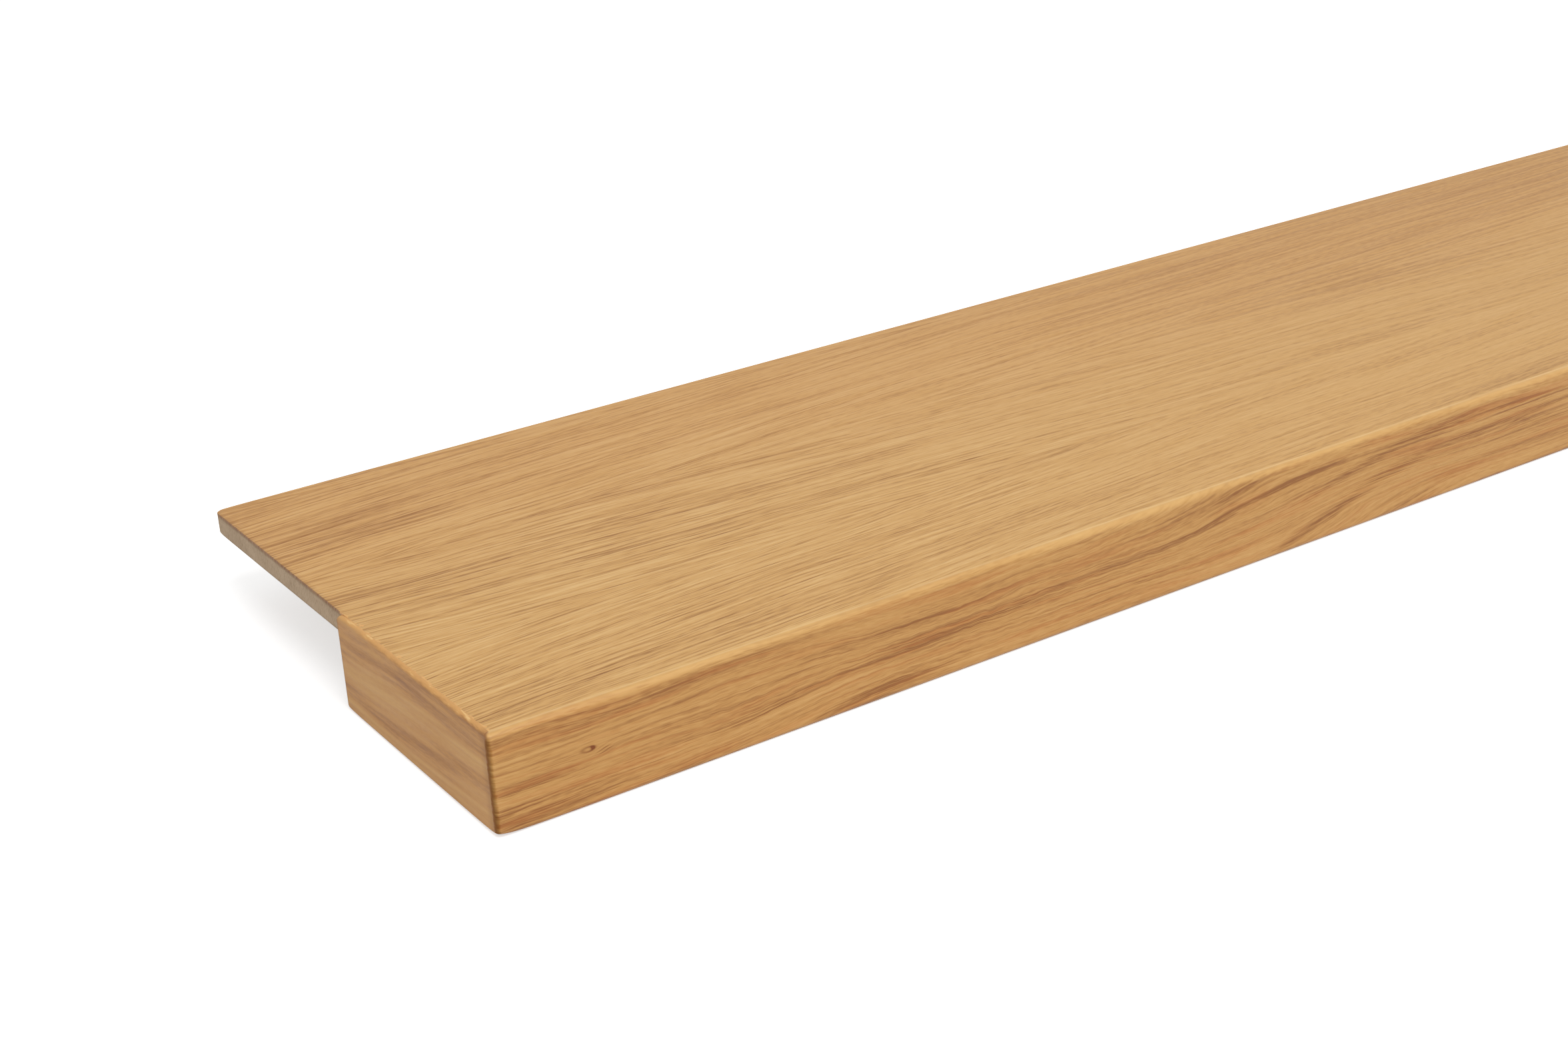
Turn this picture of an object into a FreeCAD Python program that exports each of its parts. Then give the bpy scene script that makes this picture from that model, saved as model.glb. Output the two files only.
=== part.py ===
"""Window sill board with a deep square nose: a thin veneered panel on a block, edged with oak.

Millimetres, +Z up. +X runs along the board, the front is at -Y and the back edge at +Y.
The origin is under the middle of the board, on the plane of the nose's underside.
"""
import FreeCAD, Part
import os
import Sketcher

V = FreeCAD.Vector
TOLERANCE = 1e-4

SIZES = [
    ("board_length", 1200.0, "overall, over both end lippings"),
    ("board_depth", 250.0, "overall, from the front face to the back edge"),
    ("nose_depth", 124.0, "from the front face to the back of the nose"),
    ("nose_height", 40.0, "from the nose's underside to the top face"),
    ("panel_thickness", 8.0, "fibreboard that carries the veneer"),
    ("veneer_thickness", 1.0, "oak on the top face"),
    ("front_lipping_thickness", 3.0, "oak strip along the front"),
    ("end_lipping_thickness", 2.0, "oak strip on each end of the nose"),
    ("front_arris_radius", 2.4, "long edges of the front lipping, sanded round"),
    ("end_arris_radius", 1.5, "outer edges at both ends of the nose, sanded round"),
    ("end_corner_radius", 2.0, "upper back corner of the end lippings"),
    ("heel_radius", 2.0, "lower back edge of the nose"),
    ("back_corner_radius", 3.5, "back corners of the panel and its veneer, in plan"),
]

doc = FreeCAD.newDocument("WindowSillBoard")
sheet = doc.addObject("Spreadsheet::Sheet", "Sizes")
for row, (alias, value, note) in enumerate(SIZES, start=1):
    sheet.set(f"A{row}", alias)
    sheet.set(f"B{row}", str(value))
    sheet.set(f"C{row}", note)
    sheet.setAlias(f"B{row}", alias)
doc.recompute()

# Places that several pieces share, as expressions of the sizes.
FRONT = "(-Sizes.board_depth / 2)"
LIPPING_BACK = f"({FRONT} + Sizes.front_lipping_thickness)"
PANEL_UNDERSIDE = "(Sizes.nose_height - Sizes.veneer_thickness - Sizes.panel_thickness)"
CORE_LENGTH = "(Sizes.board_length - 2 * Sizes.end_lipping_thickness)"
CORE_DEPTH = "(Sizes.nose_depth - Sizes.front_lipping_thickness)"
PANEL_DEPTH = "(Sizes.board_depth - Sizes.front_lipping_thickness)"

# An arris stays within the strip that it is sanded on and within the corners that it turns.
FRONT_ARRIS = "min(Sizes.front_arris_radius; 0.9 * Sizes.front_lipping_thickness)"
END_ARRIS = (
    "min(Sizes.end_arris_radius; 0.9 * Sizes.end_lipping_thickness; 0.9 * Sizes.heel_radius;"
    f" 0.9 * Sizes.end_corner_radius; 0.9 * {FRONT_ARRIS})"
)


def new_body(label, y, z):
    """A body whose own origin is the lower front edge of its piece."""
    body = doc.addObject("PartDesign::Body", label)
    body.Label = label
    body.setExpression("Placement.Base.y", y)
    body.setExpression("Placement.Base.z", z)
    return body


def section(body, depth, height, split=None):
    """Rectangle across the board, from the body's origin back and up.

    With split, the lower edge has a point there, and the underside becomes two faces.
    """
    sketch = body.newObject("Sketcher::SketchObject", body.Name + "_section")
    plane = next(f for f in body.Origin.OriginFeatures if f.Role == "YZ_Plane")
    sketch.AttachmentSupport = [(plane, "")]
    sketch.MapMode = "FlatFace"

    corners = [V(0, 0), V(100, 0), V(100, 50), V(0, 50)]
    if split:
        corners.insert(1, V(50, 0))
    count = len(corners)
    for i in range(count):
        sketch.addGeometry(Part.LineSegment(corners[i], corners[(i + 1) % count]), False)
    for i in range(count):
        sketch.addConstraint(Sketcher.Constraint("Coincident", i, 2, (i + 1) % count, 1))
        level = abs(corners[i].y - corners[(i + 1) % count].y) < TOLERANCE
        sketch.addConstraint(Sketcher.Constraint("Horizontal" if level else "Vertical", i))
    sketch.addConstraint(Sketcher.Constraint("Coincident", 0, 1, -1, 1))

    back, top = count - 3, count - 2
    driven = [("depth", "DistanceX", top, depth), ("height", "DistanceY", back, height)]
    if split:
        driven.append(("split", "DistanceX", 0, split))
    for name, kind, line, expression in driven:
        first, last = (2, 1) if line == top else (1, 2)
        index = sketch.addConstraint(Sketcher.Constraint(kind, line, first, line, last, 50.0))
        sketch.renameConstraint(index, name)
        sketch.setExpression(f"Constraints.{name}", expression)
    return sketch


def pad(body, sketch, length, symmetric=True, reverse=False):
    """The section drawn out along the board. Faces on one plane stay apart."""
    feature = body.newObject("PartDesign::Pad", body.Name + "_pad")
    feature.Profile = sketch
    feature.SideType = "Symmetric" if symmetric else "One side"
    feature.Reversed = reverse
    feature.Refine = False
    feature.setExpression("Length", length)
    sketch.Visibility = False
    doc.recompute()
    return feature


def edges_on(feature, *places):
    """Names of the edges that lie wholly on every one of these (axis, side) limits of the solid."""
    box = feature.Shape.BoundBox
    limit = {
        ("x", -1): box.XMin, ("x", 1): box.XMax,
        ("y", -1): box.YMin, ("y", 1): box.YMax,
        ("z", -1): box.ZMin, ("z", 1): box.ZMax,
    }
    names = []
    for number, edge in enumerate(feature.Shape.Edges, start=1):
        points = edge.discretize(5)
        if all(
            abs(getattr(p, axis) - limit[axis, side]) < TOLERANCE
            for p in points for axis, side in places
        ):
            names.append(f"Edge{number}")
    return names


def fillet(body, name, base, edges, radius):
    feature = body.newObject("PartDesign::Fillet", f"{body.Name}_{name}")
    feature.Base = (base, edges)
    feature.Refine = False
    feature.setExpression("Radius", radius)
    doc.recompute()
    return feature


# Block under the front of the panel. Its lower back edge is rounded.
nosing_core = new_body("nosing_core", LIPPING_BACK, "0 mm")
block = pad(nosing_core, section(nosing_core, CORE_DEPTH, PANEL_UNDERSIDE), CORE_LENGTH)
fillet(
    nosing_core, "heel", block,
    edges_on(block, ("y", 1), ("z", -1)), "Sizes.heel_radius",
)

# Fibreboard panel over the whole depth. Behind the nose its underside is the bedding face.
carrier_panel = new_body("carrier_panel", LIPPING_BACK, PANEL_UNDERSIDE)
sheet_stock = pad(
    carrier_panel,
    section(carrier_panel, PANEL_DEPTH, "Sizes.panel_thickness", split=CORE_DEPTH),
    CORE_LENGTH,
)
back_corners = edges_on(sheet_stock, ("x", -1), ("y", 1)) + edges_on(sheet_stock, ("x", 1), ("y", 1))
fillet(carrier_panel, "back_corners", sheet_stock, back_corners, "Sizes.back_corner_radius")

# Oak veneer on the panel, flush with the tops of the lippings.
top_veneer = new_body("top_veneer", LIPPING_BACK, "Sizes.nose_height - Sizes.veneer_thickness")
leaf = pad(top_veneer, section(top_veneer, PANEL_DEPTH, "Sizes.veneer_thickness"), CORE_LENGTH)
back_corners = edges_on(leaf, ("x", -1), ("y", 1)) + edges_on(leaf, ("x", 1), ("y", 1))
fillet(top_veneer, "back_corners", leaf, back_corners, "Sizes.back_corner_radius")

# Front strip, the full length of the board: it covers the front edges of both end lippings.
front_lipping = new_body("front_lipping", FRONT, "0 mm")
strip = pad(
    front_lipping,
    section(front_lipping, "Sizes.front_lipping_thickness", "Sizes.nose_height"),
    "Sizes.board_length",
)
long_edges = [name for side in (-1, 1) for name in edges_on(strip, ("y", -1), ("z", side))]
rounded = fillet(front_lipping, "front_arris", strip, long_edges, FRONT_ARRIS)
outline = [
    name for end in (-1, 1) for name in edges_on(rounded, ("x", end))
    if name not in edges_on(rounded, ("x", end), ("y", 1))
]
fillet(front_lipping, "end_arris", rounded, outline, END_ARRIS)


def end_lipping(label, side):
    """Strip on one end of the nose, rounded over at its back corners and along its outer edge."""
    body = new_body(label, LIPPING_BACK, "0 mm")
    body.setExpression("Placement.Base.x", f"{side} * {CORE_LENGTH} / 2")
    cheek = pad(
        body, section(body, CORE_DEPTH, "Sizes.nose_height"),
        "Sizes.end_lipping_thickness", symmetric=False, reverse=side < 0,
    )
    heel = fillet(body, "heel", cheek, edges_on(cheek, ("y", 1), ("z", -1)), "Sizes.heel_radius")
    corner = fillet(
        body, "corner", heel, edges_on(heel, ("y", 1), ("z", 1)), "Sizes.end_corner_radius",
    )
    outline = set(edges_on(corner, ("x", side))) - set(edges_on(corner, ("x", side), ("y", -1)))
    fillet(body, "arris", corner, sorted(outline), END_ARRIS)
    return body


left_end_lipping = end_lipping("left_end_lipping", -1)
right_end_lipping = end_lipping("right_end_lipping", 1)

doc.recompute()

pieces = [
    carrier_panel, top_veneer, nosing_core,
    front_lipping, left_end_lipping, right_end_lipping,
]
for item in doc.Objects:
    if {"Invalid", "Error"} & set(item.State):
        raise RuntimeError(f"{item.Label} failed: {item.State}")
for piece in pieces:
    shape = piece.Shape
    if shape.isNull() or not shape.isValid() or len(shape.Solids) != 1:
        raise RuntimeError(f"{piece.Label} is not one sound solid")

os.makedirs("parts", exist_ok=True)
for piece in pieces:
    piece.Shape.exportStep(f"parts/{piece.Label}.step")
    box = piece.Shape.BoundBox
    print(
        piece.Label,
        [round(x, 2) for x in (box.XMin, box.YMin, box.ZMin, box.XMax, box.YMax, box.ZMax)],
        f"{piece.Shape.Volume / 1000:.1f} cm3",
    )
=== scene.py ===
import math
import bmesh
import bpy
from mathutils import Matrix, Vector


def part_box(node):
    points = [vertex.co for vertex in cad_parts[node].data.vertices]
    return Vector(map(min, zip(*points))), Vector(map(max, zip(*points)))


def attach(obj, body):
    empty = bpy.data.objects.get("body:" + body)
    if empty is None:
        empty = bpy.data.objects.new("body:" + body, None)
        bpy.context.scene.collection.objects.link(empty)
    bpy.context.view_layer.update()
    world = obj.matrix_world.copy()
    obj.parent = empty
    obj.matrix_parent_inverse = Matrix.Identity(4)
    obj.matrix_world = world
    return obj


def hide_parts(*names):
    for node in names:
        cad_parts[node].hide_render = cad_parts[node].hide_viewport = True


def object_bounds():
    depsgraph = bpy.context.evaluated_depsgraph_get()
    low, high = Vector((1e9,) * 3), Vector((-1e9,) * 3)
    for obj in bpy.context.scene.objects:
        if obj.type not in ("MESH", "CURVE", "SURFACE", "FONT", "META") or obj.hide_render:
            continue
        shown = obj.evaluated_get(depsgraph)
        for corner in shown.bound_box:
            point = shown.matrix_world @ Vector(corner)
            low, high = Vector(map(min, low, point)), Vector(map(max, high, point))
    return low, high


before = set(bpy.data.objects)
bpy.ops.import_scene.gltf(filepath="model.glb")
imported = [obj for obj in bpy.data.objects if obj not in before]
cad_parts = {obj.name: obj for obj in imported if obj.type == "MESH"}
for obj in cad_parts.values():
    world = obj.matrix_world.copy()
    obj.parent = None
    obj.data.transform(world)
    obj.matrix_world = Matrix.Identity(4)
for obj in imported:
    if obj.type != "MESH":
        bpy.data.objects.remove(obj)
cad_low, cad_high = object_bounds()


# Carrier panel: a thin sheet of raw fibreboard over the whole depth of the board. Its sawn ends
# and back edge are left bare: grey-brown, a little furry, and darker at the hard-pressed faces.

MM_PER_M = 1000.0


def srgb(red, green, blue):
    """A colour as a picture gives it, 0 to 255, for a shader."""
    def linear(level):
        share = level / 255
        return share / 12.92 if share <= 0.04045 else ((share + 0.055) / 1.055) ** 2.4
    return (linear(red), linear(green), linear(blue), 1.0)


class Field:
    """A value that changes over a surface: the output of a shader node, ready for sums."""

    def __init__(self, tree, socket):
        self.tree, self.socket = tree, socket

    def maths(self, operation, *others):
        node = self.tree.nodes.new("ShaderNodeMath")
        node.operation = operation
        for socket, given in zip(node.inputs, (self, *others)):
            feed(socket, given)
        return Field(self.tree, node.outputs[0])

    def __add__(self, other):
        return self.maths("ADD", other)

    def __sub__(self, other):
        return self.maths("SUBTRACT", other)

    def __mul__(self, other):
        return self.maths("MULTIPLY", other)

    def __truediv__(self, other):
        return self.maths("DIVIDE", other)

    def __abs__(self):
        return self.maths("ABSOLUTE")

    def root(self):
        return self.maths("SQRT")

    def exp(self):
        return self.maths("EXPONENT")

    def sine(self):
        return self.maths("SINE")

    def most(self, other):
        return self.maths("MAXIMUM", other)

    def step(self, low, high, to_low=0.0, to_high=1.0):
        """A smooth step from to_low, where this is low, to to_high, where it is high."""
        node = self.tree.nodes.new("ShaderNodeMapRange")
        node.interpolation_type = "SMOOTHSTEP"
        for name, value in (("Value", self), ("From Min", low), ("From Max", high),
                            ("To Min", to_low), ("To Max", to_high)):
            feed(node.inputs[name], value)
        return Field(self.tree, node.outputs["Result"])

    def sway(self, reach):
        """Noise spread out to plus and minus reach."""
        return self.step(0.22, 0.78, -reach, reach)


def feed(socket, given):
    """Links a field to a socket, or sets a plain value on it."""
    if isinstance(given, Field):
        given.tree.links.new(given.socket, socket)
    else:
        socket.default_value = given


def noise(x, y, z, detail=0.0, roughness=0.5):
    """Soft noise around 0.5, about one blot to each unit of x, y and z."""
    tree = next(given.tree for given in (x, y, z) if isinstance(given, Field))
    place = tree.nodes.new("ShaderNodeCombineXYZ")
    for socket, given in zip(place.inputs, (x, y, z)):
        feed(socket, given)
    node = tree.nodes.new("ShaderNodeTexNoise")
    for name, value in (("Scale", 1.0), ("Detail", detail), ("Roughness", roughness)):
        node.inputs[name].default_value = value
    tree.links.new(place.outputs[0], node.inputs["Vector"])
    return Field(tree, node.outputs["Fac"])


def blend(share, first, second):
    """The first colour, and the second by the share that is given."""
    tree = share.tree
    node = tree.nodes.new("ShaderNodeMix")
    node.data_type = "RGBA"
    node.clamp_factor = True
    feed(node.inputs["Factor"], share)
    for socket, colour in zip((s for s in node.inputs if s.type == "RGBA"), (first, second)):
        feed(socket, colour)
    return Field(tree, next(s for s in node.outputs if s.type == "RGBA"))


def new_finish(name):
    """A material, its shader, and the place on the board in millimetres as three fields."""
    material = bpy.data.materials.new(name)
    material.use_nodes = True
    tree = material.node_tree
    split = tree.nodes.new("ShaderNodeSeparateXYZ")
    tree.links.new(tree.nodes.new("ShaderNodeTexCoord").outputs["Object"], split.inputs[0])
    return material, tree.nodes["Principled BSDF"], *(Field(tree, s) * MM_PER_M for s in split.outputs)


def surface(shader, colour, roughness, height, depth_mm, specular):
    """Colour, gloss and relief of a finish."""
    feed(shader.inputs["Base Color"], colour)
    feed(shader.inputs["Roughness"], roughness)
    feed(shader.inputs["Specular IOR Level"], specular)
    bump = height.tree.nodes.new("ShaderNodeBump")
    bump.inputs["Distance"].default_value = depth_mm / MM_PER_M
    feed(bump.inputs["Height"], height)
    height.tree.links.new(bump.outputs[0], shader.inputs["Normal"])


def fibreboard(name, node, middle, skin):
    """Raw fibreboard: short pressed fibres in all directions, denser and darker at both faces."""
    material, shader, x, y, z = new_finish(name)
    low, high = (corner.z * MM_PER_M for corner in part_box(node))
    lean = y + z * 0.5
    fibre = noise(x / 0.9, lean / 0.55, z / 1.9, 2.0, 0.6)
    fleck = noise(x / 2.4, y / 2.0, z / 2.8, 1.0)
    cloud = noise(x / 24.0, y / 16.0, z / 9.0, 2.0)
    shade = fibre.sway(0.16) + cloud.sway(0.1) + fleck.step(0.6, 0.74, 0.0, 0.16)
    face = z.step(low + 0.9, low + 0.1, 0.0, 0.3).most(z.step(high - 1.2, high, 0.0, 0.4))
    colour = blend(shade + face + 0.12, srgb(*middle), srgb(*skin))
    surface(shader, colour, fibre.step(0.2, 0.8, 0.78, 0.94), fibre, depth_mm=0.2, specular=0.15)
    return material


# places on the board that the corners and the finishes go by, in millimetres
HALF_LENGTH, BACK_Y, TOP_Z = (at * MM_PER_M for at in cad_high)
FRONT_Y = cad_low.y * MM_PER_M
panel_low, panel_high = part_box("carrier_panel")
PANEL_END, PANEL_LOW = panel_high.x * MM_PER_M, panel_low.z * MM_PER_M
NOSE_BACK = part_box("nosing_core")[1].y * MM_PER_M
# how far corners are rubbed away, and over what reach, in millimetres: the toes are the lower front
# corners of the nose, with a long ease beside them, the heels its lower back corners, the shoulders
# the upper back corners of the end strips, and the tails the back corners of the panel
RUBBING = {
    "Toe lift": 1.5, "Toe reach": 3.2, "Ease lift": 0.6, "Ease along": 10.0, "Ease back": 50.0,
    "Heel lift": 0.7, "Heel reach": 4.0, "Nose fade": 7.0,
    "Shoulder drop": 0.0, "Shoulder reach": 2.6,
    "Tail lift": 1.8, "Tail drop": 0.5, "Tail reach": 2.5, "Panel fade": 5.0,
}
CUT_STEPS = (0.7, 1.4, 2.1, 2.8, 3.6, 4.6, 5.8, 7.0, 9.5, 12.5, 17.0, 24.0, 36.0, 60.0)
LOW_CUT_STEPS = [step for step in CUT_STEPS if step <= RUBBING["Nose fade"]]
# points nearer than this are one, in metres
WELD = 1e-5
SHARP_FROM = math.radians(35)


def rub_tree():
    """Rounds corners by hand: each point goes up or down by a rule of how near it is to one."""
    tree = bpy.data.node_groups.new("rub_corners", "GeometryNodeTree")
    tree.interface.new_socket("Geometry", in_out="INPUT", socket_type="NodeSocketGeometry")
    tree.interface.new_socket("Geometry", in_out="OUTPUT", socket_type="NodeSocketGeometry")
    for name in RUBBING:
        tree.interface.new_socket(name, in_out="INPUT", socket_type="NodeSocketFloat")
    tree.interface.new_socket("Finish", in_out="INPUT", socket_type="NodeSocketMaterial")
    given = tree.nodes.new("NodeGroupInput")
    size = {name: Field(tree, given.outputs[name]) for name in RUBBING}
    split = tree.nodes.new("ShaderNodeSeparateXYZ")
    tree.links.new(tree.nodes.new("GeometryNodeInputPosition").outputs[0], split.inputs[0])
    x, y, z = (Field(tree, socket) * MM_PER_M for socket in split.outputs)

    def closeness(first, second, reach):
        """1 at a corner, and less with the distance from it."""
        return ((first * first + second * second).root() / reach * -1.0).exp()

    def fade(off, reach):
        """1 at a face, and 0 from the reach inwards."""
        left = (off / reach * -1.0 + 1.0).most(0.0)
        return left * left

    from_end, from_front = abs(x) * -1.0 + HALF_LENGTH, y - FRONT_Y
    from_heel, from_top = y - NOSE_BACK, z * -1.0 + TOP_Z
    toe = closeness(from_end, from_front, size["Toe reach"]) * size["Toe lift"]
    ease = from_end / size["Ease along"] + from_front / size["Ease back"]
    ease = (ease * -1.0).exp() * size["Ease lift"]
    heel = closeness(from_end, from_heel, size["Heel reach"]) * size["Heel lift"]
    shoulder = closeness(from_heel, from_top, size["Shoulder reach"]) * size["Shoulder drop"]
    tail = closeness(abs(x) * -1.0 + PANEL_END, y * -1.0 + BACK_Y, size["Tail reach"])
    rise = size["Tail lift"] * fade(z - PANEL_LOW, size["Panel fade"])
    fall = size["Tail drop"] * fade(from_top, size["Panel fade"])
    shift = (toe + ease + heel) * fade(z, size["Nose fade"]) - shoulder + tail * (rise - fall)

    smooth = tree.nodes.new("GeometryNodeSetShadeSmooth")
    feed(smooth.inputs["Selection"], abs(shift).maths("GREATER_THAN", WELD * MM_PER_M))
    move = tree.nodes.new("GeometryNodeSetPosition")
    offset = tree.nodes.new("ShaderNodeCombineXYZ")
    feed(offset.inputs["Z"], shift / MM_PER_M)
    tree.links.new(offset.outputs[0], move.inputs["Offset"])
    realize = tree.nodes.new("GeometryNodeRealizeInstances")
    finish = tree.nodes.new("GeometryNodeSetMaterial")
    tree.links.new(given.outputs["Finish"], finish.inputs["Material"])
    flow = (given, smooth, move, realize, finish, tree.nodes.new("NodeGroupOutput"))
    for first, second in zip(flow, flow[1:]):
        tree.links.new(first.outputs["Geometry"], second.inputs["Geometry"])
    return tree


RUB_TREE = rub_tree()


def rubbed(node, name, slot, material, **changes):
    """A piece in place of a CAD node: the same shape with its corners rubbed round."""
    form = bmesh.new()
    form.from_mesh(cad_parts[node].data)
    bmesh.ops.remove_doubles(form, verts=form.verts, dist=WELD)
    along = [side * (HALF_LENGTH - step) for step in CUT_STEPS for side in (-1, 1)]
    deep = [at for step in CUT_STEPS for at in (FRONT_Y + step, NOSE_BACK - step, BACK_Y - step)]
    tall = [at for step in LOW_CUT_STEPS for at in (step, PANEL_LOW + step, TOP_Z - step)]
    for axis, places in enumerate((along, deep, tall)):
        normal = Vector([float(axis == other) for other in range(3)])
        for place in places:
            bmesh.ops.bisect_plane(form, geom=[*form.verts, *form.edges, *form.faces], dist=WELD,
                                   plane_co=normal * place / MM_PER_M, plane_no=normal)
    bmesh.ops.remove_doubles(form, verts=form.verts, dist=WELD)
    bmesh.ops.triangulate(form, faces=form.faces)
    blank = bpy.data.meshes.new(name + "_blank")
    form.to_mesh(blank)
    form.free()
    if "custom_normal" in blank.attributes:
        blank.attributes.remove(blank.attributes["custom_normal"])
    piece = bpy.data.objects.new(name, blank)
    bpy.context.scene.collection.objects.link(piece)
    rub = piece.modifiers.new("rub", "NODES")
    rub.node_group = RUB_TREE
    sizes = {**RUBBING, **changes, "Finish": material}
    for item in RUB_TREE.interface.items_tree:
        if item.in_out == "INPUT" and item.name in sizes:
            rub[item.identifier] = sizes[item.name]
    bpy.context.view_layer.update()
    shaped = piece.evaluated_get(bpy.context.evaluated_depsgraph_get())
    mesh = bpy.data.meshes.new_from_object(shaped)
    piece.modifiers.remove(rub)
    piece.data = mesh
    mesh.name = name
    mesh.set_sharp_from_angle(angle=SHARP_FROM)
    bpy.data.meshes.remove(blank)
    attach(piece, "root")
    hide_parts(node)


PANEL_MIDDLE, PANEL_SKIN = (200, 175, 146), (124, 94, 66)

panel = fibreboard("raw_panel", "carrier_panel", PANEL_MIDDLE, PANEL_SKIN)
rubbed("carrier_panel", "panel_sheet", "fibreboard", panel)


# Nosing core: a block of fibreboard glued under the front half of the panel. Only its underside
# and its back show. Its lower corners were rubbed round together with the oak glued to them.

CORE_MIDDLE, CORE_SKIN = (188, 160, 126), (124, 92, 62)

core = fibreboard("raw_core", "nosing_core", CORE_MIDDLE, CORE_SKIN)
rubbed("nosing_core", "nose_block", "fibreboard", core)


# Top veneer: three leaves of oak from one log, each turned over beside the last, so that their grain
# meets in long arrows at the two joints. Pressed on the panel, brushed and given a satin lacquer.

def oak_colour(tone, dark, ground, light):
    """Colour of the wood, from its dark lines at 0 through its ground at 0.5 to its pale wood."""
    node = tone.tree.nodes.new("ShaderNodeValToRGB")
    stops = node.color_ramp.elements
    stops[0].color, stops[1].color = srgb(*dark), srgb(*light)
    stops.new(0.5).color = srgb(*ground)
    feed(node.inputs[0], tone)
    return Field(tone.tree, node.outputs["Color"])


def spot(along, across, reach, height):
    """1 at a point and falling off softly around it."""
    a, b = along / reach, across / height
    return ((a * a + b * b) * -1.0).exp()


JOINT_Y, LEAF_WIDTH = 33.0, 85.0
JOINT_BLUR, LEAF_STEP = 0.1, 0.3
LEAN, LEAN_REACH = 50.0, 650.0
VENEER_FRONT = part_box("top_veneer")[0].y * MM_PER_M
VENEER_OAK = (136, 88, 46), (208, 161, 98), (229, 189, 127)
ORANGE_CAST = srgb(208, 134, 62)
OPEN_PORES = srgb(122, 78, 42)
END_CHIPS = srgb(226, 172, 106)
FLUSH_EDGE = srgb(228, 186, 120)

veneer, shader, x, y, z = new_finish("veneer_oak")
off_joint = (y - JOINT_Y).maths("PINGPONG", LEAF_WIDTH)
leaf, front_leaf = (y.step(joint - JOINT_BLUR, joint + JOINT_BLUR, LEAF_STEP, 0.0)
                    for joint in (JOINT_Y, JOINT_Y - LEAF_WIDTH))
leaf = leaf + front_leaf
# the grain lies aslant to the joints at the left end, and straighter along the board
from_left = x + HALF_LENGTH
lean = (from_left / -LEAN_REACH).exp() * -LEAN + LEAN
across = off_joint - lean + noise(x / 160.0, off_joint / 40.0, leaf + 3.7).sway(1.3)
across = across + noise(x / 36.0, off_joint / 9.0, leaf + 8.1).sway(0.35)

# noise drawn out along the grain: the divisors are its length along and its width across, in millimetres
comb = noise(x / 46.0, across / 1.15, leaf + 9.4, 3.0, 0.6)
long_line = noise(x / 130.0, across / 2.1, leaf + 2.3, 1.0)
pore = noise(x / 20.0, across / 0.8, leaf + 5.5, 1.0).step(0.55, 0.74)
zone = noise(x / 330.0, across / 16.0, leaf + 6.6, 1.0)
fuzz = noise(x / 5.0, across / 0.6, leaf + 1.2)
near = x.step(-520.0, -60.0, 1.0, 0.22) * y.step(-40.0, 110.0, 1.0, 0.75)
fine = (comb.sway(0.34) - pore * comb.step(0.35, 0.6, 0.22, 0.12)) * near
broad = (long_line.sway(0.08) + zone.sway(0.05)) * x.step(-450.0, -60.0, 1.0, 1.25)
tone = fine + broad
# darker ground in a wide streak on the left, and where the arrows meet at the joint
tone = tone - spot(from_left, across - 22.0, 170.0, 7.0) * 0.06 + fuzz.sway(0.07)
arrows = spot(x + 450.0, off_joint, 45.0, 8.0) + spot(x + 60.0, off_joint - 6.0, 150.0, 14.0)
tone = tone - arrows * 0.08
# the leaves grow quieter along the board. They are darker towards the right and the back: painted shade for
# the lamp's light falling off there. The tone is lowered also at the far left end and near the front on the
# right.
tone = tone + x.step(-450.0, 0.0, 0.56, 0.53) - x.step(-350.0, -50.0) * y.step(0.0, 90.0, 0.0, 0.06)
tone = tone - x.step(-450.0, -620.0, 0.0, 0.1) * y.step(-30.0, 60.0) - y.step(20.0, 118.0, 0.0, 0.05)
tone = tone - y.step(-95.0, -115.0, 0.0, 0.04) * x.step(-420.0, -200.0)
colour = oak_colour(tone, *VENEER_OAK)
colour = blend(y.step(-40.0, 90.0, 0.02, 0.14), colour, ORANGE_CAST)
# the raw end of the leaf behind the nose, brown where the saw left its pores open
raw_end = abs(x).step(PANEL_END - 2.4, PANEL_END) * y.step(NOSE_BACK - 0.6, NOSE_BACK + 0.4)
end_line = abs(x).step(PANEL_END - 0.4, PANEL_END, 0.0, 0.6)
colour = blend(raw_end * (pore * 0.4 + 0.15) + end_line, colour, OPEN_PORES)
# over the nose, pale chips where the strips at the end and at the front were sanded flush
chip = noise(x / 2.0, y / 3.4, 2.6, 2.0).step(0.5, 0.8, 0.0, 2.4)
torn = (abs(x) + chip).step(PANEL_END - 0.4, PANEL_END) * y.step(NOSE_BACK + 0.4, NOSE_BACK - 0.6)
colour = blend(torn * 0.8, colour, END_CHIPS)
ragged = y - VENEER_FRONT + noise(x / 7.0, y / 1.2, 4.6, 1.0).sway(0.9)
colour = blend(ragged.step(1.4, 0.2, 0.0, 0.45), colour, FLUSH_EDGE)
roughness = comb.step(0.2, 0.8, 0.58, 0.44)
relief = (comb.sway(0.34) - pore * 0.15) * near
surface(shader, colour, roughness, relief, depth_mm=0.2, specular=0.22)
rubbed("top_veneer", "veneer_leaves", "oak_veneer", veneer)


# Front lipping: a planed strip of flat-sawn oak, glued along the front and over the ends of the
# side strips. Its long edges are sanded round, and its own ends show dark end grain.

def flat_place(first, second):
    """Two fields as a place in a plane."""
    node = first.tree.nodes.new("ShaderNodeCombineXYZ")
    feed(node.inputs[0], first)
    feed(node.inputs[1], second)
    return Field(first.tree, node.outputs[0])


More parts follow.
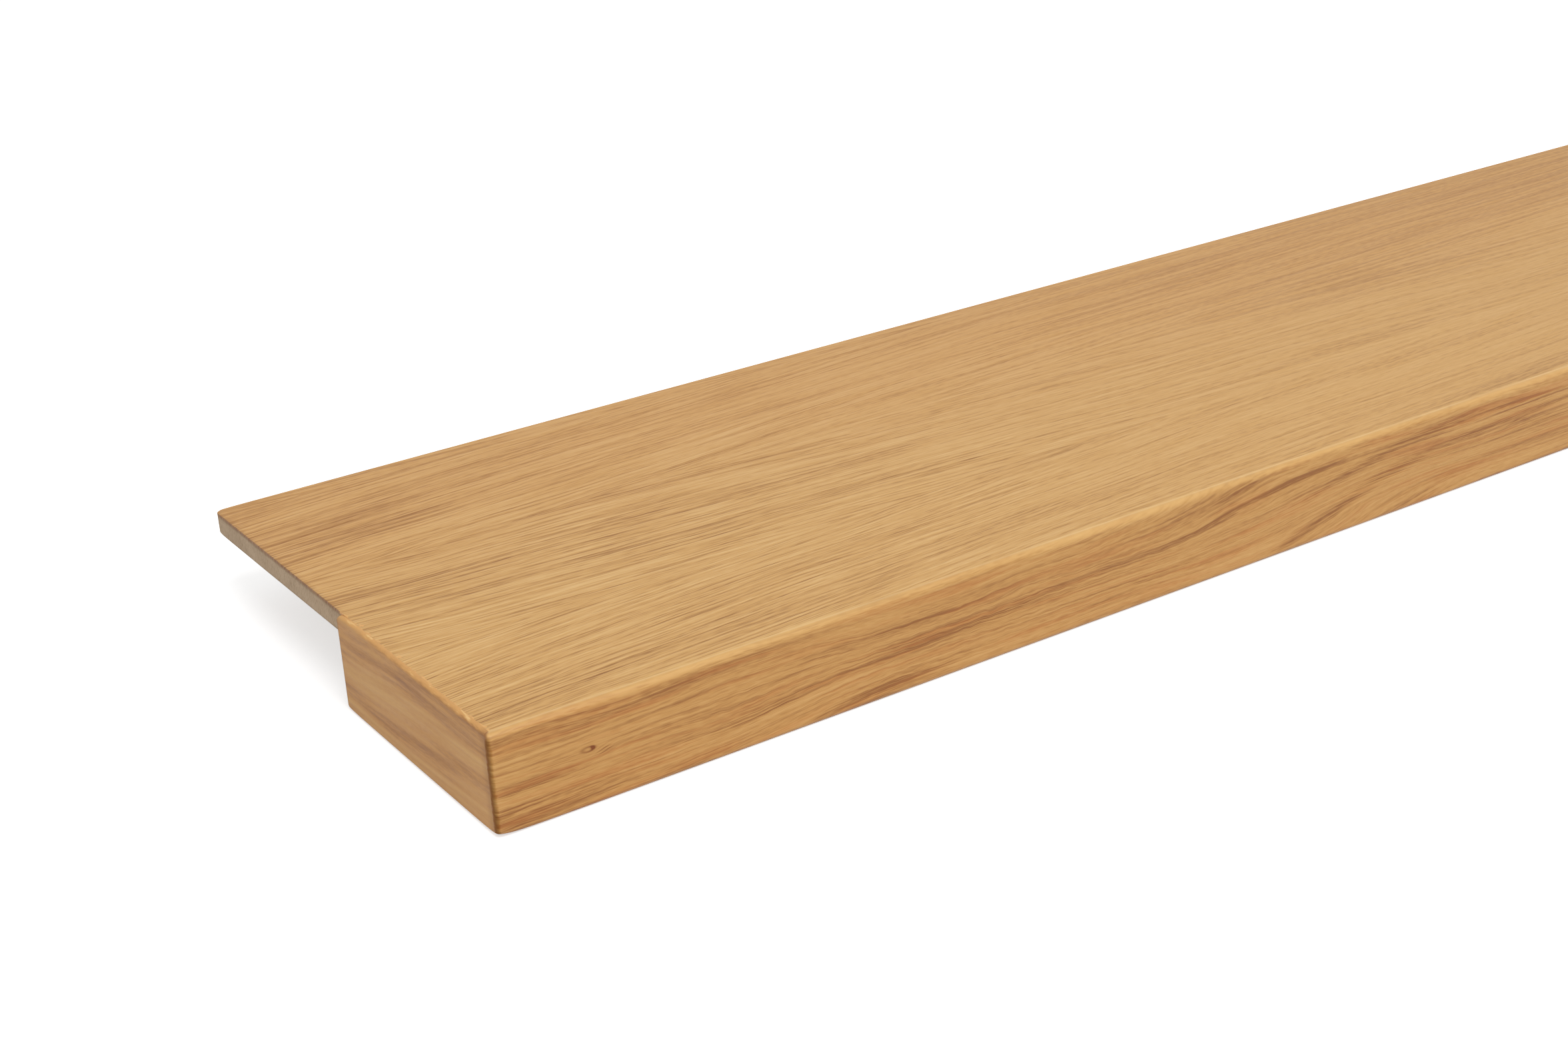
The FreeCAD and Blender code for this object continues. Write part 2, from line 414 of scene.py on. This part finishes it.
def spindle(place, at_first, at_second, reach, height, slope):
    """1 at the middle of a long thin shape, and 0 from its rim outwards."""
    tree = place.tree
    lay = tree.nodes.new("ShaderNodeMapping")
    lay.vector_type = "TEXTURE"
    lay.inputs["Location"].default_value = (at_first, at_second, 0.0)
    lay.inputs["Rotation"].default_value = (0.0, 0.0, math.atan(slope))
    lay.inputs["Scale"].default_value = (reach, height, 1.0)
    feed(lay.inputs["Vector"], place)
    node = tree.nodes.new("ShaderNodeTexGradient")
    node.gradient_type = "SPHERICAL"
    tree.links.new(lay.outputs[0], node.inputs[0])
    return Field(tree, node.outputs["Fac"]).step(0.0, 1.0)


KNOT_X, KNOT_Z = -563.4, 22.4
FRONT_OAK = (124, 64, 20), (196, 146, 84), (222, 178, 116)
RED_HEART = srgb(186, 114, 57)
# pale sanded wood with a painted highlight, and the painted highlight line along the top of the rounding
SANDED_AND_HIGHLIGHT = srgb(228, 184, 118)
CREST_HIGHLIGHT = srgb(240, 202, 140)
# painted shade for the rounded lower edge
UNDER_SHADE = srgb(116, 72, 42)
ROUND_CORNER = srgb(162, 112, 67)
END_GRAIN = srgb(104, 66, 38)
DARKEST = 0.14

front, shader, x, y, z = new_finish("front_oak")
knot_x, knot_z = x - KNOT_X, z - KNOT_Z
around = spot(knot_x - 1.5, knot_z, 8.0, 2.8)
# the flame: growth rings that rise to the right in a long slope and come down again
ahead = x + (z - 20.0) * 3.5
flame = ahead.step(-315.0, -165.0, 0.0, -12.0) + ahead.step(20.0, 230.0, 0.0, 15.0)
flame = flame + ahead.step(330.0, 480.0, 0.0, -10.0)
flame = flame + x.step(-540.0, -420.0, 0.0, -9.0) * z.step(26.0, 8.0)
wander = noise(x / 70.0, z / 20.0, 2.9).sway(1.0) + noise(x / 30.0, z / 6.0, 7.7).sway(0.25)
# rippled fibres in the dense band
ripple = noise(x / 8.0, z / 3.5, 6.3, 1.0).sway(0.7) * spot(x + 400.0, z - 19.0, 110.0, 11.0)
across = z - knot_z * around * 0.5 + flame + wander + ripple

# noise drawn out along the grain, as on the veneer
line = noise(x / 50.0, across / 0.7, 5.2).step(0.5, 0.72)
pore = noise(x / 14.0, across / 0.5, 2.2).step(0.55, 0.74)
fuzz = noise(x / 4.0, across / 0.42, 3.4)
fibre = noise(x / 70.0, across / 1.3, 8.8, 2.0)
ring = noise(x / 190.0, across / 3.2, 4.4, 1.5)
band = noise(x / 240.0, across / 9.0, 1.6, 1.0)
warm = noise(x / 55.0, across / 3.0, 7.3, 1.0)
dark = ring.step(0.5, 0.7, 0.0, 0.2) * x.step(-200.0, -40.0, 0.3, 1.0)
# single streaks: middle along and up the strip, half length, half height, slope and depth of colour
NEAR_CORNER = (
    (-580, 35, 70, 4.5, 0, 0.18), (-515, 35.5, 70, 3.5, 0, 0.1), (-480, 24, 60, 4, 0.05, 0.12),
    (-582, 16, 28, 5, 0, 0.2), (-588, 8, 80, 5, 0, 0.22), (-586, 3.5, 50, 5, 0, 0.2),
    (-500, 12, 40, 4, 0.14, 0.16), (-464, 15.5, 36, 3.5, 0.1, 0.14), (-450, 4, 44, 6, 0.17, 0.2))
DENSE_BAND = (
    (-418, 28, 55, 2.5, 0, 0.14), (-390, 19, 80, 7, 0, 0.2), (-425, 17, 40, 5, 0, 0.12),
    (-400, 19.5, 45, 3.5, 0, 0.16), (-362, 20, 40, 3, 0.02, 0.18),
    (-424, 6, 45, 5, 0.06, 0.18), (-400, 7.5, 60, 2.5, 0, 0.08))
FIRST_RING = (
    (-325, 20.5, 36, 3, 0.06, 0.14), (-288, 23.3, 30, 2.6, 0.1, 0.16), (-265, 27, 20, 3, 0.2, 0.24),
    (-245, 30.5, 20, 3, 0.16, 0.24), (-222, 33, 28, 3, 0.1, 0.24), (-195, 36.5, 34, 3, 0.08, 0.16))
SECOND_RING = (
    (-310, 11, 44, 2.6, 0.1, 0.13), (-268, 15.5, 36, 3, 0.1, 0.12), (-260, 36, 20, 4, 0.1, 0.18),
    (-270, 33, 80, 7, 0, 0.08))
THIRD_RING = (
    (-212, 24, 26, 3, 0.22, 0.13), (-185, 29, 28, 3.2, 0.16, 0.17), (-150, 33.5, 44, 5, 0.05, 0.28),
    (-100, 33.5, 44, 5, -0.05, 0.28))
WIDE_RING = (
    (-222, 7.5, 28, 4.5, 0.23, 0.2), (-197, 13.5, 28, 5, 0.24, 0.24), (-170, 20, 30, 5, 0.16, 0.2),
    (-138, 24, 38, 4.5, 0.04, 0.17), (-92, 24, 44, 5, -0.02, 0.2), (-125, 10, 60, 3.5, 0.06, 0.12),
    (-160, 4, 50, 5, 0.05, 0.12))
PALE_WOOD = ((-440, 34, 55, 5, 0, -0.12), (-265, 5, 70, 6, 0.02, -0.1))
level = flat_place(x, z + wander * 0.8)
for streaks in (NEAR_CORNER, DENSE_BAND, FIRST_RING, SECOND_RING, THIRD_RING, WIDE_RING, PALE_WOOD):
    for at_x, at_z, reach, height, slope, depth in streaks:
        dark = spindle(level, at_x, at_z, reach, height, slope).maths("MULTIPLY_ADD", depth, dark)
tone = fibre.sway(0.13) + band.sway(0.1) + fuzz.sway(0.07) + 0.58
tone = tone - dark * fibre.step(0.35, 0.65, 1.2, 0.6)
tone = tone - (line * (dark * 0.4 + 0.1)).most(pore * (dark * 0.6 + 0.09))
tone = tone.most(DARKEST)
tone = tone + (tone * -1.0 + 0.55) * around * 0.7
# the knot: a thin dark rim round a paler heart, darkest at its right end, and a fan of lines beside it
eye_x, eye_z = knot_x / 2.3, knot_z / 0.9
off_rim = ((eye_x * eye_x + eye_z * eye_z).root() - 1.0) / 0.45
rim = (off_rim * off_rim * -1.0).exp()
tone = tone - rim * knot_x.step(-3.0, 2.0, 0.2, 0.42)
tone = tone - spot(knot_x - 1.9, knot_z - 0.2, 0.8, 0.7) * 0.4
fan = (knot_z * 5.0 - knot_x * 1.5).sine().step(0.0, 1.0) * spot(knot_x - 6.5, knot_z + 2.0, 3.6, 1.7)
tone = tone - fan * 0.32
colour = oak_colour(tone, *FRONT_OAK)
colour = blend(warm.step(0.48, 0.74, 0.0, 0.4) * tone.step(0.75, 0.3, 0.5, 1.0), colour, RED_HEART)
# the upper edge: paler where it is sanded, and partly a painted highlight along the rounding; palest in a
# thin line against the veneer, which is a painted highlight
sanded = (z + fuzz.sway(0.3) + noise(x / 60.0, 2.0, 5.0).sway(0.8)).step(TOP_Z - 3.4, TOP_Z + 0.2, 0.0, 0.55)
colour = blend(sanded, colour, SANDED_AND_HIGHLIGHT)
# a painted highlight: a thin pale line high on the rounding, brighter in places
crest_highlight = y.step(FRONT_Y + 1.6, FRONT_Y + 2.7) * z.step(TOP_Z - 1.0, TOP_Z - 0.3)
crest_highlight = crest_highlight * noise(x / 45.0, 4.0, 1.0).step(0.3, 0.6, 0.15, 0.5)
colour = blend(crest_highlight, colour, CREST_HIGHLIGHT)
# the lower edge: painted shade, brown where it is rounded under
under_shade = (z + fuzz.sway(0.3)).step(1.8, 0.2, 0.0, 0.6)
colour = blend(under_shade, colour, UNDER_SHADE)
# round the corner: dark end grain on the rounding, and beyond it wood like the side strip's
turn = y - FRONT_Y + abs(x) - HALF_LENGTH + noise(x / 1.5, z / 1.8, 6.1, 1.0).sway(0.35)
colour = blend(turn.step(0.2, 2.0), colour, ROUND_CORNER)
corner = (turn.step(-1.5, 0.6) * turn.step(3.6, 0.9)) * z.step(TOP_Z - 0.6, TOP_Z - 3.0)
colour = blend(corner * 0.48, colour, END_GRAIN)
gloss = corner.step(0.0, 0.5, 0.3, 0.02) * turn.step(0.5, 3.0, 1.0, 0.4)
roughness = fibre.step(0.2, 0.8, 0.4, 0.54).most(corner)
relief = fibre.sway(0.2) - line * 0.15
surface(shader, colour, roughness, relief, depth_mm=0.15, specular=gloss)
rubbed("front_lipping", "front_strip", "oak_lipping", front)


# End lippings: a strip of the same oak glued on each end of the nose, grain from front to back, with
# the upper edge sanded through to orange wood where it meets the veneer.

END_STRIP_RUBBING = {"Shoulder drop": 1.6}
END_OAK = (148, 97, 56), (201, 149, 92), (217, 171, 110)
SANDED_THROUGH = srgb(218, 164, 98)
PALE_CHIPS = srgb(238, 198, 134)
# dark edges, and painted shade along the bottom edge
DARK_EDGE_AND_SHADE = srgb(112, 70, 44)

cheek, shader, x, y, z = new_finish("end_oak")
# the two ends lie far apart in the noise, so that their grain differs
end_side = x / 240.0
across = z + y * 0.05 + noise(y / 80.0, z / 20.0, end_side).sway(1.2)
band = noise(y / 150.0, across / 5.5, end_side + 1.0, 1.0)
streak = noise(y / 36.0, across / 2.2, end_side + 4.0)
fibre = noise(y / 12.0, across / 0.9, end_side + 7.0, 1.0)
fuzz = noise(y / 3.0, across / 0.5, end_side + 2.0)
tone = band.sway(0.26) + streak.sway(0.15) + fibre.sway(0.08) + fuzz.sway(0.05) + 0.5
colour = oak_colour(tone, *END_OAK)
# the upper edge: orange where it is sanded through, with a few pale chips along the veneer
chip = noise(y / 5.0, z / 1.4, x / 1.2 + 3.0, 2.0)
sanded = (z + chip.sway(0.5)).step(TOP_Z - 1.0, TOP_Z - 0.1)
colour = blend(sanded * 0.75, colour, SANDED_THROUGH)
colour = blend(chip.step(0.56, 0.7) * z.step(TOP_Z - 0.6, TOP_Z - 0.2) * 0.7, colour, PALE_CHIPS)
# dark edges: towards the front corner and at the back, and painted shade along the bottom
back_edge = y.step(NOSE_BACK - 2.6, NOSE_BACK - 0.8, 0.0, 0.5)
lower_shade = z.step(1.8, 0.3, 0.0, 0.45)
front_edge = y.step(FRONT_Y + 8.0, FRONT_Y + 2.5, 0.0, 0.3)
colour = blend(back_edge.most(lower_shade).most(front_edge), colour, DARK_EDGE_AND_SHADE)
surface(shader, colour, fibre.step(0.2, 0.8, 0.5, 0.62), tone, depth_mm=0.12, specular=0.22)
for side in ("left", "right"):
    rubbed(f"{side}_end_lipping", f"{side}_end_strip", "oak_lipping", cheek, **END_STRIP_RUBBING)


# Studio: a plain white floor that keeps the board's shadow, a wide soft lamp above the near end
# and a camera at the front left, a little above the board.

FLOOR_REACH = 12.0
FLOOR_GREY = (0.8, 0.8, 0.8, 1.0)
FLOOR_GLOW = 0.58
SKY_WHITE = (1.0, 1.0, 1.0, 1.0)
SKY_LIGHT, SKY_SEEN = 0.52, 1.0
LAMP_WIDTH, LAMP_WATTS = 1.6, 29.0
LAMP_PLACE, LAMP_AIM = Vector((-0.55, -1.35, 1.85)), Vector((-0.35, 0.0, 0.0))
LENS_MM, SENSOR_MM = 54.558, 36.0
CAMERA_PLACE = (-0.88863, -0.76908, 0.40968)
CAMERA_TURN_DEGREES = (66.804, 3.013, -33.759)


def camera_sees(tree):
    """1 where the camera looks at this, straight or in a reflection, and 0 for other light."""
    rays = tree.nodes.new("ShaderNodeLightPath")
    return Field(tree, rays.outputs["Is Camera Ray"]).most(Field(tree, rays.outputs["Is Glossy Ray"]))


floor_mesh = bpy.data.meshes.new("floor")
floor_mesh.from_pydata([(FLOOR_REACH * a, FLOOR_REACH * b, 0.0)
                        for a, b in ((-1, -1), (1, -1), (1, 1), (-1, 1))], [], [(0, 1, 2, 3)])
floor = bpy.data.objects.new("floor", floor_mesh)
bpy.context.scene.collection.objects.link(floor)
paper = bpy.data.materials.new("white_paper")
paper.use_nodes = True
tree = paper.node_tree
tree.nodes.remove(tree.nodes["Principled BSDF"])
matt = tree.nodes.new("ShaderNodeBsdfDiffuse")
matt.inputs["Color"].default_value = FLOOR_GREY
glow = tree.nodes.new("ShaderNodeEmission")
feed(glow.inputs["Strength"], camera_sees(tree) * FLOOR_GLOW)
both = tree.nodes.new("ShaderNodeAddShader")
tree.links.new(matt.outputs[0], both.inputs[0])
tree.links.new(glow.outputs[0], both.inputs[1])
tree.links.new(both.outputs[0], tree.nodes["Material Output"].inputs["Surface"])
floor_mesh.materials.append(paper)

world = bpy.data.worlds.new("studio")
bpy.context.scene.world = world
world.use_nodes = True
tree = world.node_tree
sky = tree.nodes["Background"]
sky.inputs["Color"].default_value = SKY_WHITE
feed(sky.inputs["Strength"], camera_sees(tree).step(0.0, 1.0, SKY_LIGHT, SKY_SEEN))

lamp_data = bpy.data.lights.new("overhead", "AREA")
lamp_data.shape = "DISK"
lamp_data.size = LAMP_WIDTH
lamp_data.energy = LAMP_WATTS
lamp = bpy.data.objects.new("overhead", lamp_data)
lamp.location = LAMP_PLACE
lamp.rotation_euler = (LAMP_AIM - LAMP_PLACE).to_track_quat("-Z", "Y").to_euler()
bpy.context.scene.collection.objects.link(lamp)

camera_data = bpy.data.cameras.new("camera")
camera_data.sensor_width = SENSOR_MM
camera_data.lens = LENS_MM
camera = bpy.data.objects.new("camera", camera_data)
camera.location = CAMERA_PLACE
camera.rotation_euler = [math.radians(angle) for angle in CAMERA_TURN_DEGREES]
bpy.context.scene.collection.objects.link(camera)
bpy.context.scene.camera = camera
bpy.context.scene.view_settings.view_transform = "Standard"
